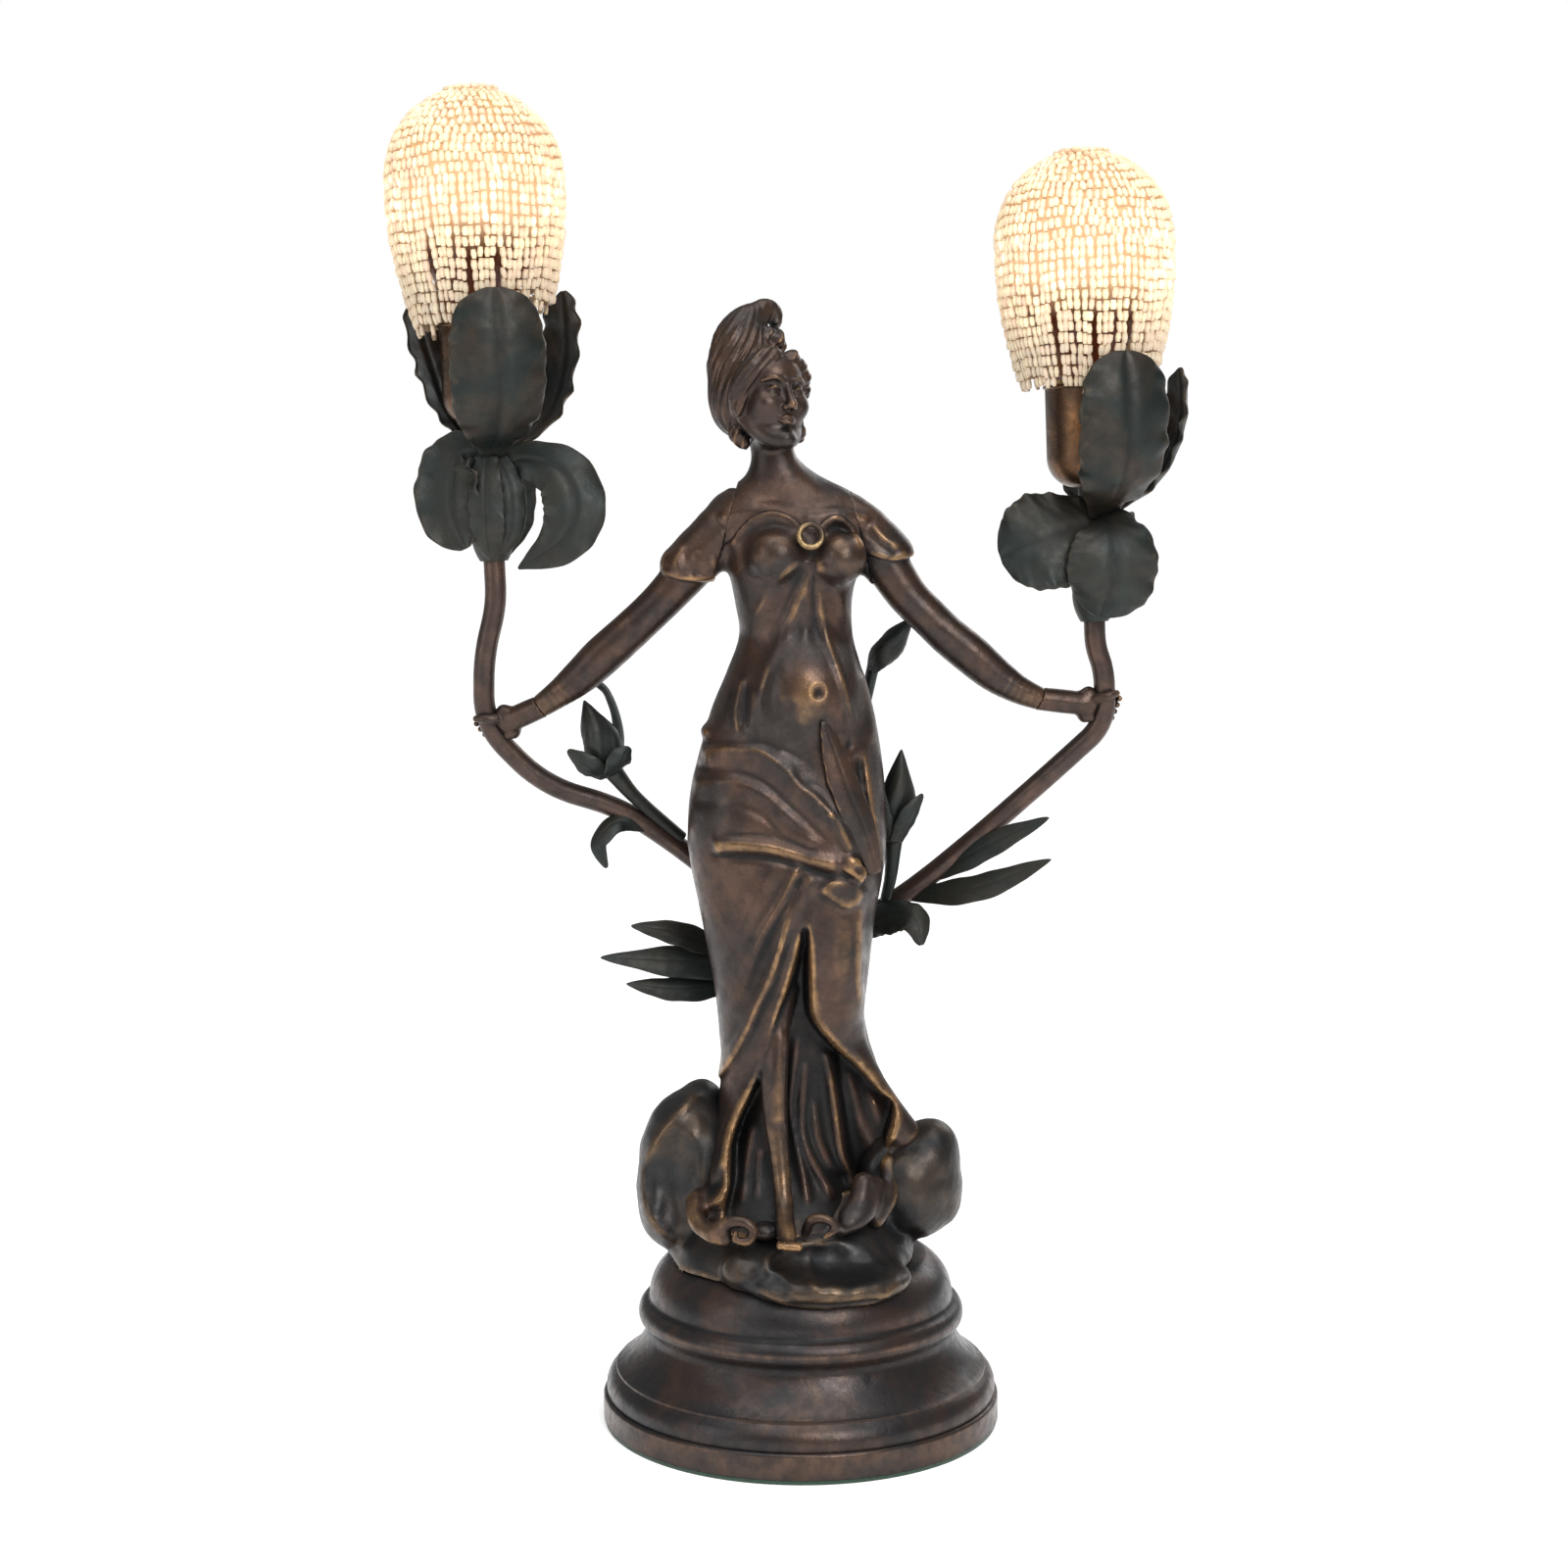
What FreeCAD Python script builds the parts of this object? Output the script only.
import FreeCAD, Part
import math
import os
from FreeCAD import Vector

# Figural table lamp: a cast woman on a moulded pedestal holds two flower lights on bent stems.
# Frame: +Z up, -Y is the front, +X is the viewer's right. Origin: centre of the felt's underside.
# All sizes are in millimetres.

os.makedirs("parts", exist_ok=True)

# ---------------------------------------------------------------- driving dimensions
BASE_RADIUS = 76.0
FELT_THICKNESS = 1.5
FELT_INSET = 0.6
WALL = 3.5                # wall of the pedestal casting
FOOT_HEIGHT = 10.2
PEDESTAL_HEIGHT = 64.5
PLATE_THICKNESS = 1.5
PLATE_SEAT = 9.5          # height of the ledge that the base plate is pulled up against
FOOT_WALL = 5.4           # between the plate's rim and the outside of the foot
PLATE_RADIUS = BASE_RADIUS - FOOT_WALL
CORD_INLET_HEIGHT = 17.0
CORD_INLET_BORE = 3.3
ROD_RADIUS = 5.0
ROD_BORE = 3.2
NUT_RADIUS = 8.5          # across the corners, halved
NUT_HEIGHT = 4.5
WASHER_RADIUS = 10.5
WASHER_THICKNESS = 1.2

ROCK_HEIGHT = 15.5        # the figure's seat above the pedestal
FIGURE_FLOOR = PEDESTAL_HEIGHT + ROCK_HEIGHT
SIDES = 2.3               # squareness of the body's sections
OPENING_DEPTH = 9.5       # from the parted skirt to the underskirt
GOWN_WALL = 3.0
GOWN_FLOOR_WALL = 7.0
STALK_Y = 38.0            # the stalk stands behind the figure
STALK_RADIUS = 6.0
STALK_BORE = 4.2
STALK_TOP = FIGURE_FLOOR + 76.0
JUNCTION_HEIGHT = 24.0
STEM_RADIUS = 4.0
STEM_BORE = 2.7
WIRE_RADIUS = 1.5
HAND_HEIGHT = {-1: FIGURE_FLOOR + 186.0, 1: FIGURE_FLOOR + 194.0}

FLOWER_TILT = -2.3        # degrees from upright, towards -X
LEFT_FLOWER_X = -114.8
LEFT_FLOWER_Z = FIGURE_FLOOR + 249.0
RIGHT_FLOWER_X = 109.8
RIGHT_FLOWER_Z = FIGURE_FLOOR + 226.5

HUB_RADIUS = 8.0
HUB_HEIGHT = 44.0
NECK_RADIUS = 4.8
CUP_SEAT = 50.0           # height of the socket cup's seat above the stem's end
CUP_WALL = 1.0
CUP_HEIGHT = 38.0
CUP_ROUND = 11.0          # radius of the cup's rounded lower edge
CUP_LIP = 0.8             # radius of the cup's rolled lip
PORCELAIN_WALL = 1.1
PORCELAIN_GAP = 0.2       # between the porcelain and the cup's wall
SOCKET_FLOOR = 10.5
SOCKET_STEP = 3.0         # from the porcelain's top up to the cup's lip
TONGUE_RISE = 2.1         # from the socket's floor up to the screwed-in cap
SHELL_WALL = 0.5
THREAD_CLEARANCE = 0.08
CAP_RADIUS = 13.1
CAP_LENGTH = 26.0
BULB_RADIUS = 30.0
BULB_HEIGHT = 106.5
GLASS_WALL = 0.8
BEAD = 3.0                # bead diameter
BEAD_CLEARANCE = 0.6
BEAD_STRINGS = 60
CROWN_RADIUS = 9.5
COVER_RIM_RADIUS = 24.4   # centre line of the fringe strings at their lower ends
FRINGE_LENGTH = 53.0


# ---------------------------------------------------------------- shared forms
def turned(outline):
    """Solid of revolution about Z. Each corner is (r, z), or (r, z, rm, zm) where an arc leads to it."""
    edges = []
    for here, there in zip(outline, outline[1:] + outline[:1]):
        start = Vector(here[0], 0, here[1])
        end = Vector(there[0], 0, there[1])
        if len(there) == 4:
            middle = Vector(there[2], 0, there[3])
            edges.append(Part.Arc(start, middle, end).toShape())
        elif start.distanceToPoint(end) > 1e-6:
            edges.append(Part.LineSegment(start, end).toShape())
    face = Part.Face(Part.Wire(edges))
    return face.revolve(Vector(0, 0, 0), Vector(0, 0, 1), 360)


def rod(radius, start, end):
    """Round bar between two points."""
    direction = end - start
    return Part.makeCylinder(radius, direction.Length, start, direction)


def closed_ring(centre, across, front, back, sides=SIDES, count=16, ripple=0.0, waves=0, phase=0.0):
    """Smooth closed wire at a height: half width across, depth to the front and to the back."""
    points = []
    for step in range(count):
        angle = 2 * math.pi * step / count
        c, s = math.cos(angle), math.sin(angle)
        swell = 1 + ripple * math.cos(waves * angle + phase)
        reach = abs(c) ** (2 / sides) * across * swell
        depth = abs(s) ** (2 / sides) * (back if s > 0 else front) * swell
        points.append(centre + Vector(math.copysign(reach, c), math.copysign(depth, s), 0))
    curve = Part.BSplineCurve()
    curve.interpolate(Points=points, PeriodicFlag=True)
    return Part.Wire([curve.toShape()])


def blob(centre, rx, ry, rz):
    """Rounded lump with three half sizes."""
    stretch = FreeCAD.Matrix()
    stretch.scale(rx, ry, rz)
    lump = Part.makeSphere(1.0).transformGeometry(stretch)
    lump.translate(centre)
    return lump


def round_loft(points, radii):
    """Smooth limb: circles square to a line of points, skinned."""
    wires = []
    for i, (point, radius) in enumerate(zip(points, radii)):
        before = points[max(i - 1, 0)]
        after = points[min(i + 1, len(points) - 1)]
        wires.append(Part.Wire([Part.makeCircle(radius, point, after - before)]))
    return Part.makeLoft(wires, True, False)


STRAIGHT = 1e-4           # radians: a corner that turns less than this is no corner


def bent_path(points, share=0.45):
    """Wire of straight runs joined by tangent arcs, and the smallest arc radius in it."""
    edges = []
    at = points[0]
    least = 1e9
    for before, corner, after in zip(points, points[1:], points[2:]):
        run_in, run_out = corner - before, after - corner
        turn = run_in.getAngle(run_out)
        if turn < STRAIGHT:
            continue
        cut = share * min(run_in.Length, run_out.Length)
        radius = cut / math.tan(turn / 2)
        least = min(least, radius)
        u, v = Vector(run_in).normalize(), Vector(run_out).normalize()
        first, last = corner - u * cut, corner + v * cut
        inward = (v - u).normalize()
        middle = corner + inward * (radius / math.cos(turn / 2) - radius)
        edges.append(Part.LineSegment(at, first).toShape())
        edges.append(Part.Arc(first, middle, last).toShape())
        at = last
    edges.append(Part.LineSegment(at, points[-1]).toShape())
    return Part.Wire(edges), least


def tube(points, radius):
    """Round bar swept along a bent path."""
    path, least = bent_path(points)
    circle = Part.Wire([Part.makeCircle(radius, points[0], points[1] - points[0])])
    return path.makePipeShell([circle], True, False), path.Length, least


def blade(spine, widths, cups, face_normals, thickness, tip=0.35):
    """Leaf or petal: thin crescent sections across a spine, skinned.

    widths are half widths, cups the rise of the middle over the edges, and face_normals the way
    that the leaf's upper face looks at each point of the spine."""
    wires = []
    for i, point in enumerate(spine):
        along = (spine[min(i + 1, len(spine) - 1)] - spine[max(i - 1, 0)]).normalize()
        normal = face_normals[i] - along * face_normals[i].dot(along)
        normal.normalize()
        side = along.cross(normal)
        half, cup = widths[i], cups[i]
        skin = thickness / 2 if half > 2 else thickness * tip
        edge = skin * 0.4
        crest = point + normal * (cup + skin)
        keel = point + normal * (cup - skin)
        left_top, left_low = point - side * half + normal * edge, point - side * half - normal * edge
        right_top, right_low = point + side * half + normal * edge, point + side * half - normal * edge
        wires.append(Part.Wire([
            Part.Arc(left_top, crest, right_top).toShape(),
            Part.LineSegment(right_top, right_low).toShape(),
            Part.Arc(right_low, keel, left_low).toShape(),
            Part.LineSegment(left_low, left_top).toShape(),
        ]))
    solid = Part.makeLoft(wires, True, False)
    if solid.Volume < 0:
        solid = Part.makeLoft(wires[::-1], True, False)
    return solid


def largest(shape):
    """The main solid that a cut leaves."""
    return max(shape.Solids, key=lambda solid: solid.Volume)


def smooth_line(points, count):
    """Points evenly spread over a smooth curve through the given ones."""
    curve = Part.BSplineCurve()
    curve.interpolate(points)
    return [curve.value(curve.FirstParameter + (curve.LastParameter - curve.FirstParameter) * i / (count - 1))
            for i in range(count)]


def save(shape, name):
    """Write one node to its own file."""
    for solid in shape.Solids:
        if not solid.isValid() or solid.Volume <= 0:
            print("check", name, "valid", solid.isValid(), "volume", round(solid.Volume, 2))
    shape.exportStep("parts/" + name + ".step")
    NODES[name] = shape


NODES = {}

# ---------------------------------------------------------------- pedestal
# Foot ring, small bead, hollow ogee, torus and domed top, cast with a thin wall.
TOP_FLAT_RADIUS = STALK_Y + STALK_RADIUS + 3.5
torus_z = PEDESTAL_HEIGHT - 22.0


def stepped(fraction):
    """Radius at a fraction of the way in from the foot to the flat top."""
    return BASE_RADIUS - (BASE_RADIUS - TOP_FLAT_RADIUS) * fraction


outer_outline = [
    (0, FELT_THICKNESS),
    (BASE_RADIUS, FELT_THICKNESS),
    (BASE_RADIUS, FOOT_HEIGHT),
    (stepped(0.056), FOOT_HEIGHT + 1.2, stepped(0.018), FOOT_HEIGHT + 0.9),
    (stepped(0.175), FOOT_HEIGHT + 10.4, stepped(0.056), FOOT_HEIGHT + 6.0),
    (stepped(0.196), FOOT_HEIGHT + 11.4),
    (stepped(0.568), torus_z - 8.2, stepped(0.421), FOOT_HEIGHT + 17.0),
    (stepped(0.547), torus_z - 4.4),
    (stepped(0.547), torus_z + 4.2, stepped(0.477), torus_z),
    (stepped(0.604), torus_z + 4.8),
    (stepped(0.625), torus_z + 6.6),
    (TOP_FLAT_RADIUS, PEDESTAL_HEIGHT, stepped(0.719), PEDESTAL_HEIGHT - 6.6),
    (0, PEDESTAL_HEIGHT),
]
pedestal_body = turned(outer_outline)
ledge_radius = PLATE_RADIUS - 3.6
inner_top = PEDESTAL_HEIGHT - WALL
pedestal_hollow = turned([
    (0, 0),
    (PLATE_RADIUS, 0),
    (PLATE_RADIUS, PLATE_SEAT),
    (ledge_radius, PLATE_SEAT),
    (ledge_radius, FOOT_HEIGHT + 10.0),
    (stepped(0.702), torus_z - 8.0, stepped(0.579), FOOT_HEIGHT + 15.5),
    (stepped(0.702), torus_z + 3.0),
    (TOP_FLAT_RADIUS + 1.5, inner_top, stepped(0.825), inner_top - 5.0),
    (0, inner_top),
])
inlet_flat = BASE_RADIUS - 4.2
inlet_axis = Vector(0, 1, 0)
bush_body_radius = CORD_INLET_BORE + 1.6
bush_flange_radius = bush_body_radius + 1.8
bush_flange = 2.4
bush_tail = 2.6           # how far the bush reaches inside the wall
inlet_centre = Vector(0, inlet_flat, CORD_INLET_HEIGHT)


def pedestal_shell():
    shell = pedestal_body.cut(pedestal_hollow)
    for hole in (rod(ROD_RADIUS, Vector(0, 0, inner_top - 1), Vector(0, 0, PEDESTAL_HEIGHT + 1)),
                 rod(STALK_RADIUS, Vector(0, STALK_Y, inner_top - 1),
                     Vector(0, STALK_Y, PEDESTAL_HEIGHT + 1)),
                 rod(bush_body_radius, inlet_centre - inlet_axis * 20, inlet_centre + inlet_axis * 10),
                 rod(bush_flange_radius + 0.4, inlet_centre, inlet_centre + inlet_axis * 10)):
        shell = shell.cut(hole)
    return shell


def base_plate():
    low = PLATE_SEAT - PLATE_THICKNESS
    disc = Part.makeCylinder(PLATE_RADIUS, PLATE_THICKNESS, Vector(0, 0, low))
    return disc.cut(Part.makeCylinder(ROD_RADIUS, PLATE_THICKNESS, Vector(0, 0, low)))


def base_felt():
    return Part.makeCylinder(BASE_RADIUS - FELT_INSET, FELT_THICKNESS)


def cord_bush():
    tail = inlet_centre - inlet_axis * (BASE_RADIUS - ledge_radius - 4.2 + bush_tail)
    bush = rod(bush_body_radius, tail, inlet_centre)
    bush = bush.fuse(rod(bush_flange_radius, inlet_centre, inlet_centre + inlet_axis * bush_flange))
    bush = bush.cut(rod(CORD_INLET_BORE, tail, inlet_centre + inlet_axis * bush_flange)).removeSplitter()
    return bush


rod_low = FELT_THICKNESS + 0.4
rod_high = FIGURE_FLOOR + GOWN_FLOOR_WALL
plate_low = PLATE_SEAT - PLATE_THICKNESS


def hexagon(centre_low, radius, height, bore):
    corners = [centre_low + Vector(radius * math.cos(math.pi * k / 3), radius * math.sin(math.pi * k / 3), 0)
               for k in range(7)]
    block = Part.Face(Part.makePolygon(corners)).extrude(Vector(0, 0, height))
    return block.cut(Part.makeCylinder(bore, height, centre_low))


def center_rod():
    bar = Part.makeCylinder(ROD_RADIUS, rod_high - rod_low, Vector(0, 0, rod_low))
    return bar.cut(Part.makeCylinder(ROD_BORE, rod_high - rod_low, Vector(0, 0, rod_low)))


def rod_washers():
    lows = (Vector(0, 0, plate_low - WASHER_THICKNESS), Vector(0, 0, inner_top - WASHER_THICKNESS))
    rings = [Part.makeCylinder(WASHER_RADIUS, WASHER_THICKNESS, low).cut(
        Part.makeCylinder(ROD_RADIUS, WASHER_THICKNESS, low)) for low in lows]
    return Part.makeCompound(rings)


def rod_nuts():
    lows = (plate_low - WASHER_THICKNESS - NUT_HEIGHT, inner_top - WASHER_THICKNESS - NUT_HEIGHT)
    nuts = [hexagon(Vector(0, 0, low), NUT_RADIUS, NUT_HEIGHT, ROD_RADIUS) for low in lows]
    stalk_nut = hexagon(Vector(0, STALK_Y, inner_top - NUT_HEIGHT), STALK_RADIUS + 3, NUT_HEIGHT,
                        STALK_RADIUS)
    return Part.makeCompound(nuts + [stalk_nut])


BLOCK_SIZE = Vector(26, 14, 12)
block_corner = Vector(-BLOCK_SIZE.x / 2, 16, PLATE_SEAT)


def junction_block():
    """Terminal block on the plate: two barrels with their screws."""
    block = Part.makeBox(BLOCK_SIZE.x, BLOCK_SIZE.y, BLOCK_SIZE.z, block_corner)
    for side in (-1, 1):
        well = Vector(side * BLOCK_SIZE.x / 4, block_corner.y + BLOCK_SIZE.y * 0.3,
                      PLATE_SEAT + BLOCK_SIZE.z - 3)
        block = block.cut(Part.makeCylinder(2.2, 3, well))
    return block


# ---------------------------------------------------------------- figure
# Heights below are above the figure's floor. Each row of the gown is
# (height, centre x, half width, front depth, back depth, ripple of the folds).
GOWN_ROWS = [
    (0, -7, 36, 44, 24, 0.05),
    (14, -7, 35, 38, 24, 0.07),
    (26, -5, 33.5, 33, 23, 0.07),
    (40, -3, 29, 28, 22, 0.07),
    (56, -3.5, 27, 26, 21, 0.06),
    (72, -3, 28.5, 26, 21, 0.05),
    (92, -3, 31, 27, 22, 0.04),
    (110, -3.5, 34.5, 28, 24, 0.03),
    (134, -4.5, 37.5, 28, 27, 0.02),
    (156, -4, 36.5, 28, 27, 0),
    (176, -4, 34, 27, 24, 0),
    (194, -3.5, 30, 26, 19, 0),
    (208, -2.6, 25, 22, 16, 0),
    (222, -2.5, 20.6, 18, 15, 0),
    (234, -3, 21.5, 20, 15, 0),
    (246, -3.2, 24, 25, 15, 0),
    (256, -3.4, 25.6, 25, 15, 0),
    (265, -4.5, 24.5, 19, 14, 0),
]
FOLD_WAVES = 6
# Corners of the opening in the skirt, (x, height), and the line of the bare leg in it, (x, y, height).
OPENING = [(1.4, 114), (-5.2, 90), (-12, 68), (-20, 47.5), (-26, 24), (-25, -10), (24, -10), (27, 14),
           (34.5, 41),
           (20.2, 59.5), (9.6, 71), (2.6, 84)]
LEG_LINE = [(-6.5, -15, 88), (-9.4, -20, 76), (-10.3, -22, 61), (-9.8, -24, 44), (-7.8, -28, 26),
            (-6.6, -33, 13)]
LEG_RADII = [5.0, 5.1, 5.3, 4.6, 3.6, 3.2]


def on_gown(x, height, proud=0.0):
    """Point on the front of the gown at an x and a height above the figure's floor."""
    rows = GOWN_ROWS
    k = max(i for i in range(len(rows) - 1) if rows[i][0] <= height)
    t = (height - rows[k][0]) / (rows[k + 1][0] - rows[k][0])
    centre, across, front = [rows[k][i] + (rows[k + 1][i] - rows[k][i]) * t for i in (1, 2, 3)]
    out = min(abs((x - centre) / across), 0.98)
    return Vector(x, -front * (1 - out ** SIDES) ** (1 / SIDES) - proud, FIGURE_FLOOR + height)


def gown_skin(inset):
    """The gown's outside, or a skin some way inside it that spreads again at the hem."""
    wires = []
    for height, x, across, front, back, ripple in GOWN_ROWS:
        deep = inset * min(1.0, 0.3 + height / 26)
        wires.append(closed_ring(Vector(x, 0, FIGURE_FLOOR + height), across - deep, front - deep,
                                 back - deep, ripple=ripple, waves=FOLD_WAVES, phase=1.2, count=24))
    return Part.makeLoft(wires, True, False)


def opening():
    """Space between the parted edges of the skirt, in front of the underskirt."""
    corners = [Vector(x, -70, FIGURE_FLOOR + height) for x, height in OPENING]
    window = Part.Face(Part.makePolygon(corners + corners[:1])).extrude(Vector(0, 68, 0))
    return window.cut(gown_skin(OPENING_DEPTH))


def foot():
    return blob(Vector(-5, -42, FIGURE_FLOOR + 5), 6.5, 13, 6)


gown_outer = gown_skin(0)


def gown():
    """Hollow casting with a thick floor that the rod screws into, a parted skirt, a leg and a foot."""
    wires = []
    for height, x, across, front, back, _ in GOWN_ROWS[:-1]:
        z = FIGURE_FLOOR + max(height, GOWN_FLOOR_WALL)
        wall = GOWN_WALL + 2
        deep = wall + OPENING_DEPTH * min(1.0, max(0.0, (126 - height) / 34))
        wires.append(closed_ring(Vector(x, 0, z), across - deep, front - deep, back - wall, count=12))
    hollow = Part.makeLoft(wires, True, False)
    leg = round_loft([Vector(x, y, FIGURE_FLOOR + height) for x, y, height in LEG_LINE], LEG_RADII)
    shape = gown_outer.cut(opening()).fuse(leg).fuse(foot()).cut(hollow)
    shape = shape.cut(rod(ROD_RADIUS, Vector(0, 0, FIGURE_FLOOR - 1), Vector(0, 0, rod_high)))
    return shape.cut(Part.makeBox(200, 200, 40, Vector(-100, -100, FIGURE_FLOOR - 40)))


def rock_base():
    """Rock mound with a lobe at each side and a shell lip at the front, seated on the pedestal."""
    mound_rows = [(-26, 50, 44), (-14, 46, 44), (-6, 42, 42), (0, 40, 42)]
    wires = [closed_ring(Vector(-3, -2, FIGURE_FLOOR + z), across, depth, depth, ripple=0.03, waves=7)
             for z, across, depth in mound_rows]
    rock = Part.makeLoft(wires, True, False)
    rock = rock.fuse(blob(Vector(-41, 2, FIGURE_FLOOR + 15), 22, 26, 31))
    rock = rock.fuse(blob(Vector(40, 2, FIGURE_FLOOR + 10), 23, 25, 25))
    lip = blob(Vector(10, -34, FIGURE_FLOOR - 12), 34, 27, 9)
    rock = rock.fuse(lip)
    rock = rock.cut(pedestal_body).cut(gown_outer).cut(foot())
    rock = rock.cut(rod(ROD_RADIUS, Vector(0, 0, 0), Vector(0, 0, FIGURE_FLOOR + 5)))
    return rock.cut(rod(STALK_RADIUS, Vector(0, STALK_Y, 0), Vector(0, STALK_Y, STALK_TOP)))


head_centre = Vector(-13.6, -3.5, FIGURE_FLOOR + 309)
head_turn = (FreeCAD.Rotation(Vector(0, 0, 1), 31) * FreeCAD.Rotation(Vector(0, 1, 0), 3)
             * FreeCAD.Rotation(Vector(1, 0, 0), -9))


def on_head(x, y, z):
    """Place on the turned head: x to the right of its face, y out of the face and z up from its middle."""
    return head_centre + head_turn.multVec(Vector(x, -y, z))


def head_blob(x, y, z, rx, ry, rz):
    lump = blob(Vector(0, 0, 0), rx, ry, rz)
    lump.Placement = FreeCAD.Placement(on_head(x, y, z), head_turn)
    return lump


def bust():
    """Bare shoulders, neck, head and the dressed hair with its top knot."""
    shoulder_rows = [(265, -4.5, 24.5, 19, 14), (270, -6, 25, 15, 12), (275.5, -7, 20, 11, 10.5),
                     (280.5, -8.5, 12.5, 9.2, 9.5), (286, -10, 9, 8.4, 8.6), (292, -11, 8.2, 8, 8.2),
                     (304, -12, 8.4, 8, 8.4)]
    wires = [closed_ring(Vector(x, 0, FIGURE_FLOOR + z), across, front, back)
             for z, x, across, front, back in shoulder_rows]
    shape = Part.makeLoft(wires, True, False)
    knot_line = [on_head(*p) for p in ((-6, -7, 6), (-6, -6.5, 16), (-5.5, -5.8, 24), (-3, -4.5, 30),
                                       (1.6, -3.6, 33), (5.4, -3, 32))]
    face, jaw = head_blob(0, 4.2, -3, 11.7, 12.8, 16.4), head_blob(0, 8.2, -13, 6.8, 7, 6.6)
    hair, nape = head_blob(-1.2, -6.2, 4.5, 16.2, 17.0, 17.4), head_blob(-5, -9, -4, 12.4, 12.4, 12)
    for part in (face, jaw, hair, nape, round_loft(knot_line, [12.5, 11.6, 9.2, 6.6, 5.0, 3.8])):
        shape = shape.fuse(part)
    return shape


def arm_line(side):
    """Centre line and radii of one arm, from inside the shoulder to the wrist."""
    if side < 0:
        points = [(-24, 0, 265), (-34, -2, 257), (-41.5, -3, 246), (-49.6, -3, 237), (-57, -3, 229.5),
                  (-66.2, -3, 221), (-74.7, -3, 213.4), (-82.1, -3, 206.5), (-90.2, -3, 200),
                  (-98, -2, 194.5)]
    else:
        points = [(17, 0, 265), (26, -2, 257), (32, -3, 247), (39, -3, 237), (47.3, -3, 228.5),
                  (55, -3, 221), (63.5, -3, 214.1), (72, -3, 207), (81, -3, 201.2), (89.5, -2, 197.5)]
    radii = [8.5, 10.5, 10.5, 7.6, 7.4, 7.5, 7.6, 6.9, 5.6, 4.5]
    return [Vector(x, y, FIGURE_FLOOR + height) for x, y, height in points], radii


def arm(side):
    points, radii = arm_line(side)
    return largest(round_loft(points, radii).cut(gown_outer).cut(bust_solid))


# ---------------------------------------------------------------- stalk, junction and stems
junction_low = STALK_TOP
junction_centre = Vector(0, STALK_Y, STALK_TOP + JUNCTION_HEIGHT / 2)


def upward(side):
    """Direction of the flower's axis."""
    tilt = math.radians(FLOWER_TILT)
    return Vector(math.sin(tilt), 0, math.cos(tilt))


def flower_base(side):
    if side < 0:
        return Vector(LEFT_FLOWER_X, 0, LEFT_FLOWER_Z)
    return Vector(RIGHT_FLOWER_X, 0, RIGHT_FLOWER_Z)


def stem_points(side):
    """Corners of the stem's centre line: the low ones follow the junction, the high ones the flower."""
    end = flower_base(side)
    up = upward(side)
    if side < 0:
        low = [(-24, -4, 29.5), (-46, -11, 49), (-69, -20, 66), (-98, -28.5, 75.5)]
        high = [(-5, 3.5, -62), (-4.4, 1, -36)]
        stand = 16
    else:
        low = [(22, -4.5, 17.5), (46, -12, 35), (72, -22, 58.5), (97, -30.5, 82.5)]
        high = [(5.2, 3, -38.5), (3.8, 1, -18.5)]
        stand = 9
    middle = [junction_centre + Vector(*p) for p in low] + [end + Vector(*p) for p in high]
    first = middle[0]
    near = junction_centre + (first - junction_centre).normalize() * 3.0
    inside = junction_centre + (first - junction_centre).normalize() * 20.0
    return [near, inside] + middle + [end - up * stand, end]


def stem(side):
    points = stem_points(side)
    outer, length, least = tube(points, STEM_RADIUS)
    bore, _, _ = tube(points, STEM_BORE)
    print("stem", side, "length", round(length, 1), "least bend radius", round(least, 1),
          "volume ratio", round(outer.Volume / (math.pi * STEM_RADIUS ** 2 * length), 4))
    return outer.cut(bore).cut(junction_body)


junction_body = turned([
    (0, junction_low - 8), (STALK_RADIUS + 2.5, junction_low - 8), (11.5, junction_low + 4),
    (11.5, junction_low + 18), (5.0, junction_low + JUNCTION_HEIGHT), (0, junction_low + JUNCTION_HEIGHT),
])
junction_body.translate(Vector(0, STALK_Y, 0))


def main_stalk():
    low = inner_top - NUT_HEIGHT - 2
    base, top = Vector(0, STALK_Y, low), Vector(0, STALK_Y, STALK_TOP)
    return rod(STALK_RADIUS, base, top).cut(rod(STALK_BORE, base, top))


def stalk_junction():
    stalk_hole = rod(STALK_RADIUS, Vector(0, STALK_Y, junction_low - 10), Vector(0, STALK_Y, junction_low))
    shape = junction_body.cut(stalk_hole)
    shape = shape.cut(rod(7.5, Vector(0, STALK_Y, junction_low), Vector(0, STALK_Y, junction_centre.z + 7)))
    for side in (-1, 1):
        points = stem_points(side)
        shape = shape.cut(rod(STEM_BORE, points[0], points[0] + (points[1] - points[0]).normalize() * 30))
    return shape


def wire_points(side):
    """The wire leaves the terminal block, rises in the stalk and follows the stem's own centre."""
    offset = side * (STALK_BORE / 2)
    block_x = side * BLOCK_SIZE.x / 4
    block_y = block_corner.y + BLOCK_SIZE.y * 0.7
    block_top = PLATE_SEAT + BLOCK_SIZE.z
    points = stem_points(side)
    stalk_entry = Vector(offset, STALK_Y, inner_top - 8)
    return [Vector(block_x, block_y, block_top), Vector(block_x, block_y, block_top + 12), stalk_entry,
            Vector(offset, STALK_Y, junction_low - 4)] + points + [points[-1] + upward(side) * wire_reach]


wire_reach = CUP_SEAT + CUP_WALL + SOCKET_FLOOR   # from the stem's end to the contact tongue


def wire(side):
    solid, length, least = tube(wire_points(side), WIRE_RADIUS)
    print("wire", side, "length", round(length, 1), "least bend radius", round(least, 1),
          "volume ratio", round(solid.Volume / (math.pi * WIRE_RADIUS ** 2 * length), 4))
    return solid


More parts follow.
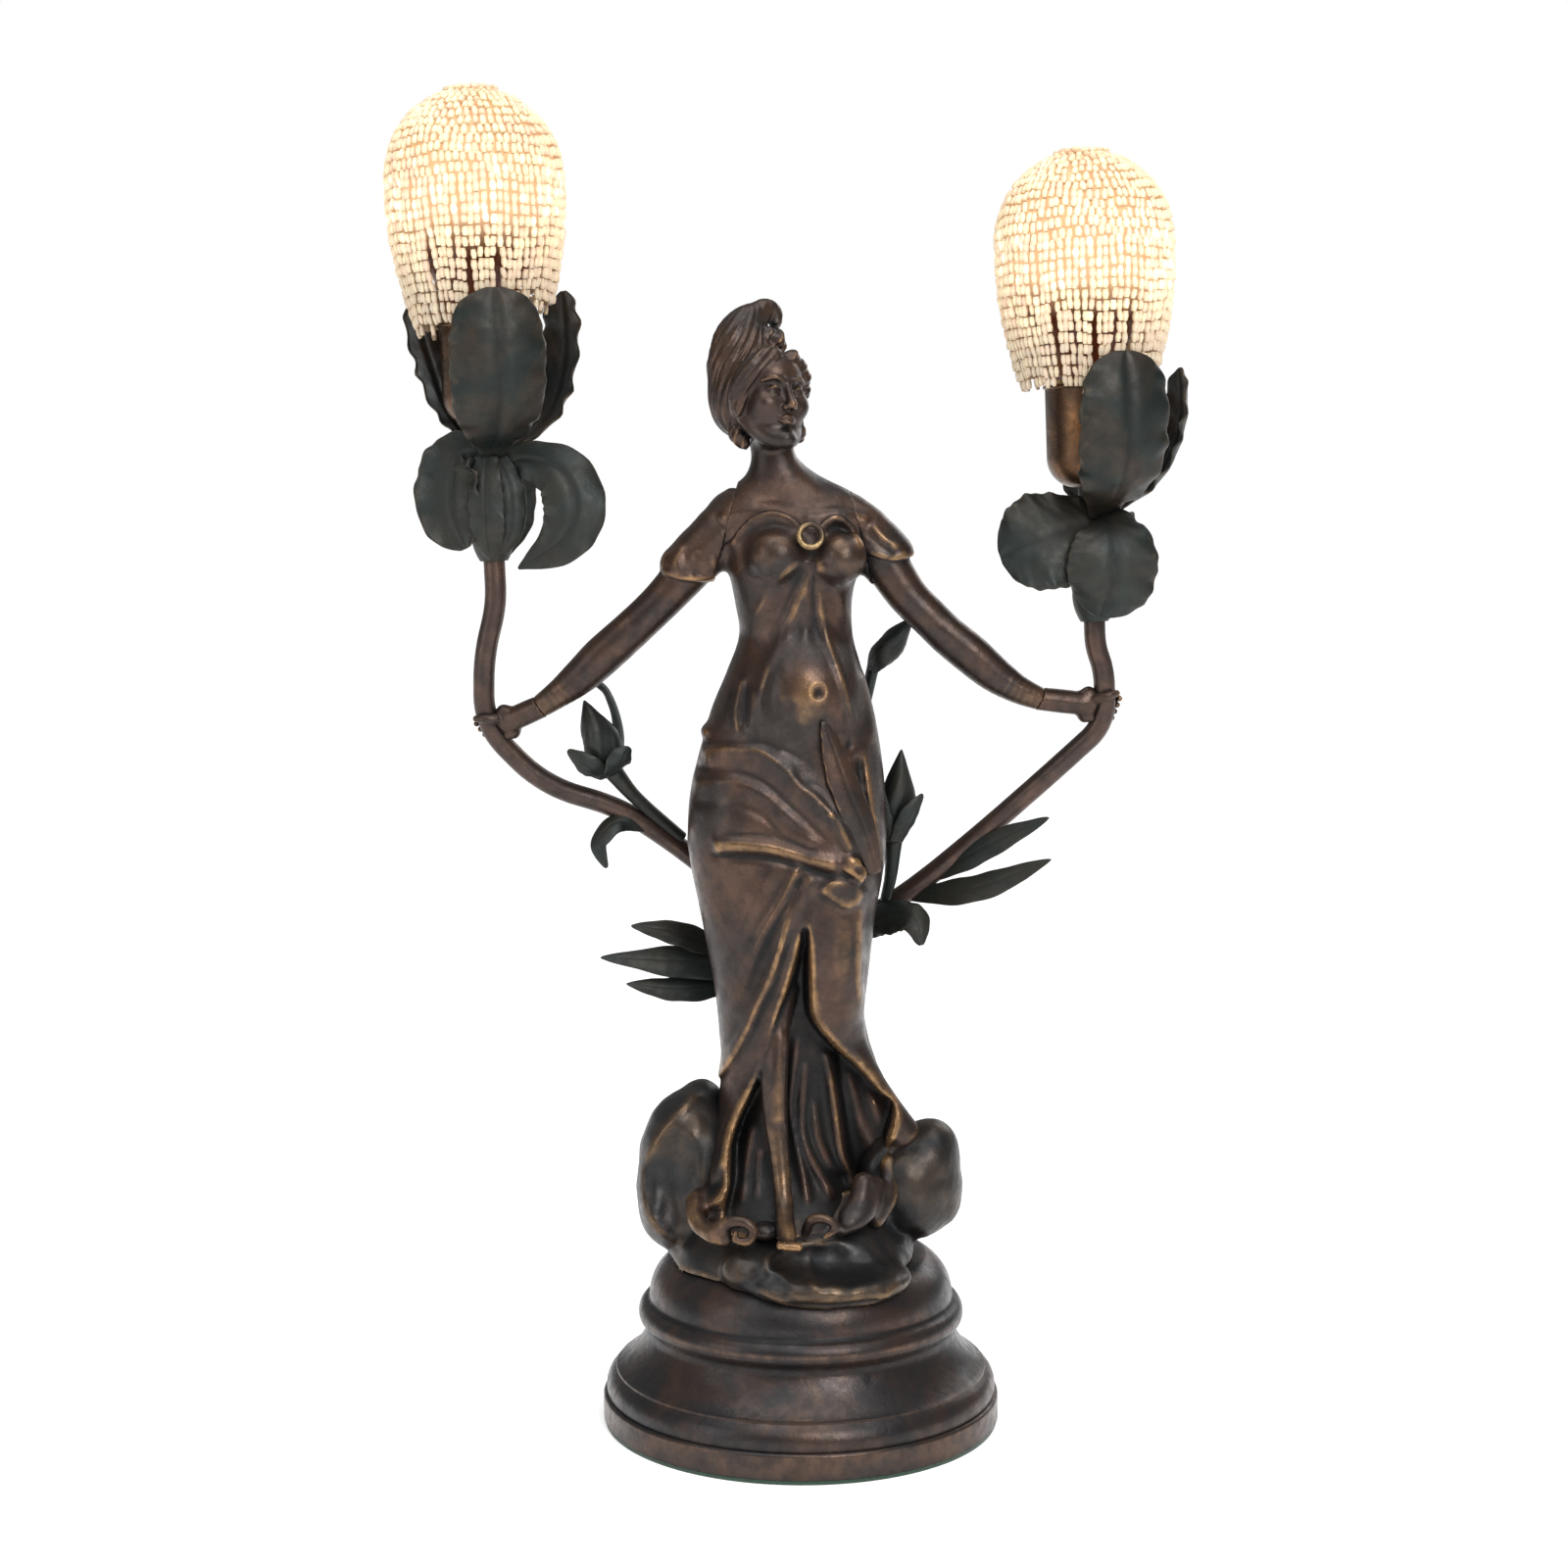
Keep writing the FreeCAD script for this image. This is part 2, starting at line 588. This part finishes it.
def hand(side, arm_solid):
    """Hand laid round the stem from behind: palm, closed fingers and thumb."""
    start = arm_line(side)[0][-1]
    path, _ = bent_path(stem_points(side))
    hold = min(path.discretize(Number=200), key=lambda p: abs(p.z - HAND_HEIGHT[side]))
    reach = hold + Vector(-side * 1.5, -1.5, 0) - start
    line = [start, start + reach * 0.35, start + reach * 0.7, start + reach * 1.0]
    palm = round_loft(line, [4.5, 5.6, 6.4, 5.2])
    fingers = blob(hold + Vector(side * 0.5, 4.5, -1), 6.2, 4.2, 6.8)
    solid = palm.fuse(fingers).cut(stem_outer[side]).cut(arm_solid)
    return largest(solid)


def brooch_ring():
    ring = Part.makeTorus(4.2, 1.1, on_gown(3.2, 258.5, 0.3), Vector(0.15, -1, 0.2))
    return ring.cut(gown_outer)


# ---------------------------------------------------------------- foliage
# Places in this section are measured from the middle of the junction.
def leaf(points, widths, cups, look, thickness=1.2, count=7, origin=junction_centre):
    """Leaf with its spine smoothed, its half widths and cups spread over the same length."""
    spine = smooth_line([origin + Vector(*p) for p in points], count)

    def spread(values):
        out = []
        for i in range(count):
            t = (len(values) - 1) * i / (count - 1)
            k = min(int(t), len(values) - 2)
            out.append(values[k] + (values[k + 1] - values[k]) * (t - k))
        return out
    normals = [Vector(*look)] * count
    return blade(spine, spread(widths), spread(cups), normals, thickness)


def stalk_rod(points, radii):
    return round_loft([junction_centre + Vector(*p) for p in points], radii)


def left_trefoil_leaf():
    start = (-8, -1, 0)
    blades = [
        leaf([start, (-38, -7, 3), (-78, -14, 6.5)], [2, 6, 6.5, 0.8], [0, 1, 1, 0], (0, -1, 0.5)),
        leaf([(-30, -3, 8), (-48, -9, 14), (-66, -13, 19)], [1.5, 5, 4.5, 0.8], [0, 1, 1, 0], (0, -1, 0.5)),
        leaf([(-24, -3, -7), (-46, -9, -7), (-68, -13, -4)], [1.5, 5, 4.5, 0.8], [0, 1, 1, 0], (0, -1, 0.5)),
    ]
    stalk = stalk_rod([(0, 0, -1), (-16, -2, 0), (-34, -5, 2)], [2.6, 2.6, 2.4])
    ribs = [stalk_rod([(-16, -2, 0), (-31, -3.4, z)], [2.2, 1.6]) for z in (8, -6.5)]
    shape = stalk
    for part in ribs + blades:
        shape = shape.fuse(part)
    return shape.cut(junction_body).cut(stalk_outer)


def left_curl_leaf():
    return leaf([(-60, -19, 58), (-70, -24, 60.5), (-77, -28, 53), (-74, -30, 44)], [1.5, 4, 3.6, 0.8],
                [0, 1, 1, 0.2], (-0.5, -1, 0.3)).cut(stem_outer[-1])


def right_blade_leaves():
    cups = [0, 1, 0.8, 0]
    look = (0, -1, 0.4)
    upper = leaf([(49, -13, 37), (70, -25, 51), (94, -35, 64)], [1.6, 5.2, 4.6, 0.8], cups, look)
    lower = leaf([(40, -10, 30), (68, -25, 35.5), (95, -35, 48)], [1.6, 5.4, 4.8, 0.8], cups, look)
    return Part.makeCompound([upper.cut(stem_outer[1]), lower.cut(stem_outer[1])])


def right_curl_leaf():
    shape = leaf([(20, -7, 13), (32, -16, 22), (43, -26, 23), (46, -30, 14)], [2, 7, 7, 1.2], [0, 2, 2, 0.4],
                 (0.2, -1, 0.5))
    return shape.cut(stem_outer[1]).cut(gown_outer).cut(right_bud())


def bud_shape(tip, base, radius):
    """Closed bud: pointed at the tip and swollen at a third of its length."""
    axis = Vector(*tip) - Vector(*base)
    stations = (0.0, 0.12, 0.35, 0.6, 0.82, 1.0)
    radii = (0.45, 0.8, 1.0, 0.85, 0.5, 0.12)
    centres = [junction_centre + Vector(*base) + axis * s for s in stations]
    return round_loft(centres, [radius * r for r in radii])


def left_bud():
    stalk = stalk_rod([(-46, -13.5, 53.5), (-62.9, -22, 69.7), (-71.9, -26, 80.6)], [2.4, 2.6, 3.6])
    bud = bud_shape((-82.2, -30, 108), (-71.9, -26, 79.6), 8.0)
    sepal = leaf([(-70, -26, 79), (-68, -29, 88), (-66, -32, 90)], [3, 5, 1], [0, 2, 0], (0.6, -0.8, 0.2))
    return stalk.fuse(bud).fuse(sepal).cut(stem_outer[-1])


def right_bud():
    stalk = stalk_rod([(33, -12, 29), (34.8, -18, 40), (35.6, -24, 54)], [2.2, 2.4, 3.2])
    bud = bud_shape((38, -32, 89.5), (35.6, -24, 53), 7.4)
    return stalk.fuse(bud).cut(stem_outer[1]).cut(gown_outer)


def arm_bud():
    stalk = stalk_rod([(4, 1, 6), (12, -1, 47), (21, -8, 87), (28, -18, 122)], [2.2, 2.2, 2.0, 2.2])
    bud = bud_shape((42.5, -27, 139.5), (27, -17, 120), 5.6)
    return stalk.fuse(bud).cut(junction_body).cut(arm_solids[1])


def hip_leaf():
    rows = [(27, 134, 0.2), (22.5, 150, 0.8), (16, 166, 1.2), (11, 181, 2.2), (7.5, 191, 4)]
    points = [tuple(on_gown(x, height, proud)) for x, height, proud in rows]
    return leaf(points, [2, 5.5, 6, 4, 0.8], [0.8, 1, 1, 0.6, 0], (0.45, -1, 0.1), thickness=2.0,
                origin=Vector(0, 0, 0)).cut(gown_outer)


# ---------------------------------------------------------------- flowers
# A flower is built upright on the origin and then tilted and carried to the stem's end.
def placed(shape, side):
    out = shape.copy()
    out.rotate(Vector(0, 0, 0), Vector(0, 1, 0), FLOWER_TILT)
    out.translate(flower_base(side))
    return out


shell_outer = CAP_RADIUS + THREAD_CLEARANCE + SHELL_WALL
socket_radius = shell_outer + PORCELAIN_WALL
cup_radius = socket_radius + PORCELAIN_GAP + CUP_WALL
socket_low = CUP_SEAT + CUP_WALL
well_low = socket_low + SOCKET_FLOOR
cup_top = CUP_SEAT + CUP_HEIGHT
socket_top = cup_top - SOCKET_STEP
cap_low = well_low + TONGUE_RISE
cap_high = cap_low + CAP_LENGTH
bulb_top = cap_low + BULB_HEIGHT
equator = bulb_top - BULB_RADIUS
cover_inner = BULB_RADIUS + BEAD_CLEARANCE
cover_top = bulb_top + BEAD


def calyx_hub():
    body = turned([
        (0, 0), (STEM_RADIUS + 1.2, 0), (HUB_RADIUS, HUB_HEIGHT / 4, HUB_RADIUS - 0.8, HUB_HEIGHT / 10),
        (HUB_RADIUS - 1, HUB_HEIGHT - 6, HUB_RADIUS + 0.4, HUB_HEIGHT * 0.55), (NECK_RADIUS, HUB_HEIGHT),
        (NECK_RADIUS, CUP_SEAT), (0, CUP_SEAT),
    ])
    return body.cut(Part.makeCylinder(STEM_BORE, CUP_SEAT))


def bowl(inset, top):
    """Solid with the cup's outline, smaller by an inset: rounded below and straight above."""
    foot = cup_radius - CUP_ROUND
    low = CUP_SEAT + inset
    high = CUP_SEAT + CUP_ROUND
    side = cup_radius - inset
    drop = (CUP_ROUND - inset) * math.sin(math.pi / 4)
    return turned([(0, low), (foot, low), (side, high, foot + drop, high - drop), (side, top), (0, top)])


def wire_hole():
    """Bore for the wires, from below the cup to the socket's floor."""
    return Part.makeCylinder(STEM_BORE, well_low - CUP_SEAT + 2, Vector(0, 0, CUP_SEAT - 1))


def socket_cup():
    """Spun brass cup: rounded below, straight wall and rolled lip."""
    lip = Part.makeTorus(cup_radius, CUP_LIP, Vector(0, 0, cup_top - CUP_LIP))
    return bowl(0, cup_top).fuse(lip).cut(bowl(CUP_WALL, cup_top)).cut(wire_hole())


def socket_body():
    """Porcelain holder that stands in the cup, with a well for the screw shell."""
    body = bowl(CUP_WALL + PORCELAIN_GAP, socket_top)
    foot = Part.makeCylinder(cup_radius - CUP_ROUND, CUP_WALL, Vector(0, 0, socket_low))
    well = Part.makeCylinder(shell_outer, socket_top - well_low, Vector(0, 0, well_low))
    return body.fuse(foot).cut(well).cut(wire_hole())


def screw_shell():
    height = socket_top - well_low
    shell = Part.makeCylinder(shell_outer, height, Vector(0, 0, well_low))
    return shell.cut(Part.makeCylinder(shell_outer - SHELL_WALL, height, Vector(0, 0, well_low)))


tongue_low = well_low
tongue_thickness = 0.3


def contact_tongue():
    """Brass spring strip across the floor of the porcelain."""
    strip = Part.makeBox(14, 4, tongue_thickness, Vector(-11.5, -2, tongue_low))
    return strip.fuse(Part.makeCylinder(3.0, tongue_thickness, Vector(0, 0, tongue_low))).removeSplitter()


def bulb_contact():
    """Solder tip on a glass insulator under the cap."""
    low = tongue_low + tongue_thickness
    return turned([(0, low), (2.6, low), (4.4, low + 0.7), (6.5, cap_low), (0, cap_low)])


def bulb_cap():
    outer = turned([(0, cap_low), (9.5, cap_low), (CAP_RADIUS, cap_low + 3.5), (CAP_RADIUS, cap_high),
                    (0, cap_high)])
    inner = turned([(0, cap_low + 0.6), (9.0, cap_low + 0.6), (CAP_RADIUS - 0.5, cap_low + 3.9),
                    (CAP_RADIUS - 0.5, cap_high), (0, cap_high)])
    return outer.cut(inner)


def glass_outline(wall):
    """Pear shape from inside the cap to the crown."""
    neck = CAP_RADIUS - 0.5 - wall
    low = cap_high - 8 + wall
    belly = BULB_RADIUS - wall
    throat = cap_high + 16
    return [(0, low), (neck, low), (neck, cap_high),
            (neck + 4.6, throat, neck + 1.4, cap_high + 8.5),
            (belly, equator, belly - 3.2, equator - 14.5),
            (0, equator + belly, belly * math.cos(math.pi / 4), equator + belly * math.sin(math.pi / 4))]


def bulb_glass():
    return turned(glass_outline(0)).cut(turned(glass_outline(GLASS_WALL)))


def filament():
    """Glass mount, two lead wires and the coiled filament drawn as one fine bow."""
    low = cap_high - 8 + GLASS_WALL
    mount = turned([(0, low), (5, low), (2.2, low + 12), (2.2, low + 40), (0, low + 40)])
    leads = [rod(0.35, Vector(s * 1.2, 0, low + 39), Vector(s * 9, 0, low + 52)) for s in (-1, 1)]
    bow = rod(0.35, Vector(-9, 0, low + 52), Vector(9, 0, low + 52))
    return mount.fuse(leads[0]).fuse(leads[1]).fuse(bow).removeSplitter()


def bead_cap():
    """Knotted bead net over the crown of the bulb, with its crown ring and a rippled row per bead."""
    middle = cover_inner + BEAD / 2
    rows = 11
    lowest = 0.0
    highest = math.acos((CROWN_RADIUS - 1.0) / middle)
    outline = []
    step = (highest - lowest) / rows
    centre_z = equator

    def spot(radius, angle):
        return radius * math.cos(angle), centre_z + radius * math.sin(angle)
    r, z = spot(cover_inner + BEAD * 0.72, lowest)
    outline.append((r, z))
    for k in range(rows):
        bulge = spot(cover_inner + BEAD, lowest + (k + 0.5) * step)
        waist = spot(cover_inner + BEAD * 0.72, lowest + (k + 1) * step)
        outline.append((waist[0], waist[1], bulge[0], bulge[1]))
    outline.append(spot(cover_inner, highest))
    mid = spot(cover_inner, (lowest + highest) / 2)
    outline.append((cover_inner, centre_z, mid[0], mid[1]))
    net = turned(outline)
    crown = Part.makeTorus(CROWN_RADIUS, BEAD / 2, Vector(0, 0, cover_top + 0.2))
    return net.fuse(crown)


def bead_fringe():
    """Hanging strings from the net's edge, each bent in towards the socket cup."""
    top_radius = cover_inner + BEAD / 2
    string_radius = BEAD * 0.41
    start = Vector(top_radius, 0, equator)
    end = Vector(COVER_RIM_RADIUS, 0, equator - FRINGE_LENGTH)
    sag = (start + end) * 0.5 + Vector(3.6, 0, 1.0)
    arc = Part.Arc(start, sag, end).toShape()
    path = Part.Wire([arc])
    circle = Part.Wire([Part.makeCircle(string_radius, start, arc.tangentAt(arc.FirstParameter))])
    string = path.makePipeShell([circle], True, False)
    strings = []
    for k in range(BEAD_STRINGS):
        copy = string.copy()
        copy.rotate(Vector(0, 0, 0), Vector(0, 0, 1), 360.0 * k / BEAD_STRINGS)
        strings.append(copy)
    return Part.makeCompound(strings)


def radial_leaf(azimuth, outline, look_out=1.0, thickness=1.2, count=8):
    """Leaf or petal in a plane through the flower's axis.

    outline rows are (r, z, half width, cup); the upper face looks outwards."""
    angle = math.radians(azimuth)
    out = Vector(math.cos(angle), math.sin(angle), 0)
    spine = smooth_line([out * r + Vector(0, 0, z) for r, z, _, _ in outline], count)
    normals = []
    for i in range(count):
        along = spine[min(i + 1, count - 1)] - spine[max(i - 1, 0)]
        across = Vector(-math.sin(angle), math.cos(angle), 0)
        normals.append(across.cross(along).normalize() * look_out)

    def spread(index):
        out_values = []
        for i in range(count):
            t = (len(outline) - 1) * i / (count - 1)
            k = min(int(t), len(outline) - 2)
            out_values.append(outline[k][index] + (outline[k + 1][index] - outline[k][index]) * (t - k))
        return out_values
    return blade(spine, spread(2), spread(3), normals, thickness)


def petal(azimuth, outline):
    return radial_leaf(azimuth, outline).cut(hub_body)


# Rows of a petal: distance from the flower's axis, height, half width and cup.
PETAL_OUTLINE = [(5.8, 37.5, 4, 0.3), (11.5, 43, 7.5, 1), (19.5, 48.5, 13.5, 2.8), (25.6, 57, 17.5, 4.5),
                 (28.8, 68, 18.5, 5.5), (30, 80, 18.3, 5.2), (30.5, 91, 14.5, 3.5), (31, 99, 5, 0.8)]
SIDE_PETAL_OUTLINE = [(5.8, 37.5, 3.5, 0.3), (11.5, 43, 6.5, 1), (19.5, 48.5, 10.5, 2), (26, 57, 13, 3.2),
                      (30, 68, 13.8, 4), (32.5, 80, 14, 4), (34, 92, 11, 2.5), (35.5, 101, 3, 0.4)]
UPRIGHT_PETAL_OUTLINE = [(5.8, 37.5, 3.5, 0.3), (8.5, 45, 6, 0.8), (13.8, 52, 9, 1.6), (18.5, 60, 11.5, 2.5),
                         (22.5, 70, 12.5, 3), (26, 80, 12.5, 3), (29.5, 91, 9, 2), (31.5, 99, 3, 0.4)]
hub_body = calyx_hub().fuse(Part.makeCylinder(STEM_BORE, CUP_SEAT))


# ---------------------------------------------------------------- assembly
stem_outer = {side: tube(stem_points(side), STEM_RADIUS)[0] for side in (-1, 1)}
stalk_outer = rod(STALK_RADIUS, Vector(0, STALK_Y, 40), Vector(0, STALK_Y, STALK_TOP))
SIDE_NAME = {-1: "left", 1: "right"}

save(pedestal_shell(), "pedestal_shell")
save(base_plate(), "base_plate")
save(base_felt(), "base_felt")
save(cord_bush(), "cord_bush")
save(center_rod(), "center_rod")
save(rod_washers(), "rod_washers")
save(rod_nuts(), "rod_nuts")
save(junction_block(), "junction_block")
save(rock_base(), "rock_base")
save(gown(), "gown")
bust_solid = bust()
save(bust_solid, "bust")
arm_solids = {side: arm(side) for side in (-1, 1)}
save(main_stalk(), "main_stalk")
save(stalk_junction(), "stalk_junction")
for side in (-1, 1):
    name = SIDE_NAME[side]
    save(arm_solids[side], name + "_arm")
    save(stem(side), name + "_stem")
    save(hand(side, arm_solids[side]), name + "_hand")
    save(wire(side), name + "_wire")
save(brooch_ring(), "brooch_ring")
save(left_trefoil_leaf(), "left_trefoil_leaf")
save(left_curl_leaf(), "left_curl_leaf")
save(right_blade_leaves(), "right_blade_leaves")
save(right_curl_leaf(), "right_curl_leaf")
save(left_bud(), "left_bud")
save(right_bud(), "right_bud")
save(arm_bud(), "arm_bud")
save(hip_leaf(), "hip_leaf")

PETALS = {
    -1: {"front": (-90, PETAL_OUTLINE), "left": (165, UPRIGHT_PETAL_OUTLINE),
         "right": (28, SIDE_PETAL_OUTLINE)},
    1: {"front": (-62, PETAL_OUTLINE), "right": (8, SIDE_PETAL_OUTLINE), "back": (98, SIDE_PETAL_OUTLINE)},
}
# Rows of the lower leaf that arches out of each hub behind, as for the petals.
BACK = [(5.5, 26, 3.5, 0.2), (14, 36, 10, 1.5), (24, 39, 13.5, 3), (32, 29, 14, 3.5), (34, 12, 11, 2),
        (30, 0, 2, 0.2)]


def facing_leaf(spine, widths, cups, look):
    """Broad leaf that hangs with its upper face to the front, in the upright flower's own frame."""
    return leaf(spine, widths, cups, look, count=9, origin=Vector(0, 0, 0))


LOWER_LEAVES = {
    -1: (facing_leaf([(4, -3, 33), (14, -7, 37), (28, -11, 31), (32, -13, 18), (26, -14, 6), (10, -13, -3)],
                     [3, 7, 11, 12, 9, 1.4], [0.2, 1, 2.5, 2.5, 1.5, 0.2], (0.15, -1, 0.25)),
         facing_leaf([(-4, -3, 34), (-13, -7, 38.5), (-23, -10, 33), (-26.5, -11, 20), (-19, -12, 6)],
                     [3, 8.5, 11.5, 11.5, 4], [0.2, 1.2, 2.5, 2.5, 0.6], (-0.2, -1, 0.2)),
         facing_leaf([(0, -7.6, 31), (-1.5, -10.5, 20), (-1.5, -10.5, 7), (0, -7.5, -5)],
                     [5, 9.5, 8.5, 3], [0.6, 1.5, 1.5, 0.8], (0, -1, 0.1)),
         radial_leaf(88, BACK)),
    1: (facing_leaf([(-2, -5, 32), (-9, -9, 33), (-20, -12, 29.5), (-30, -13, 26), (-36, -12, 24)],
                    [4, 12.5, 19, 15, 5], [0.5, 2, 4, 3, 0.6], (-0.1, -1, 0.35)),
        facing_leaf([(3, -5, 30), (7, -14.5, 30.5), (9, -19.5, 24.5), (7, -19.5, 12), (2, -14.5, 1)],
                    [4, 8.5, 15.5, 15.5, 5], [0.4, 1.2, 3, 3, 0.6], (0.15, -1, 0.3)),
        radial_leaf(75, BACK)),
}


def lower_leaves(side):
    """Leaves that arch out of the hub and droop, each trimmed where it meets those before it."""
    leaves = []
    for whole_leaf in LOWER_LEAVES[side]:
        shape = whole_leaf.cut(hub_body)
        for other in leaves:
            shape = shape.cut(other)
        leaves.append(largest(shape))
    return Part.makeCompound(leaves)


FLOWER_PIECES = {
    "calyx_hub": calyx_hub, "socket_cup": socket_cup, "socket_body": socket_body, "screw_shell": screw_shell,
    "contact_tongue": contact_tongue, "bulb_contact": bulb_contact, "bulb_cap": bulb_cap,
    "bulb_glass": bulb_glass, "filament": filament, "bead_cap": bead_cap, "bead_fringe": bead_fringe,
}
for piece, make in FLOWER_PIECES.items():
    upright = make()
    for side in (-1, 1):
        save(placed(upright, side), SIDE_NAME[side] + "_" + piece)
for side in (-1, 1):
    for which, (azimuth, outline) in PETALS[side].items():
        save(placed(petal(azimuth, outline), side), SIDE_NAME[side] + "_petal_" + which)
    save(placed(lower_leaves(side), side), SIDE_NAME[side] + "_lower_leaves")

whole = Part.makeCompound(list(NODES.values()))
print("nodes", len(NODES), "box", whole.BoundBox)
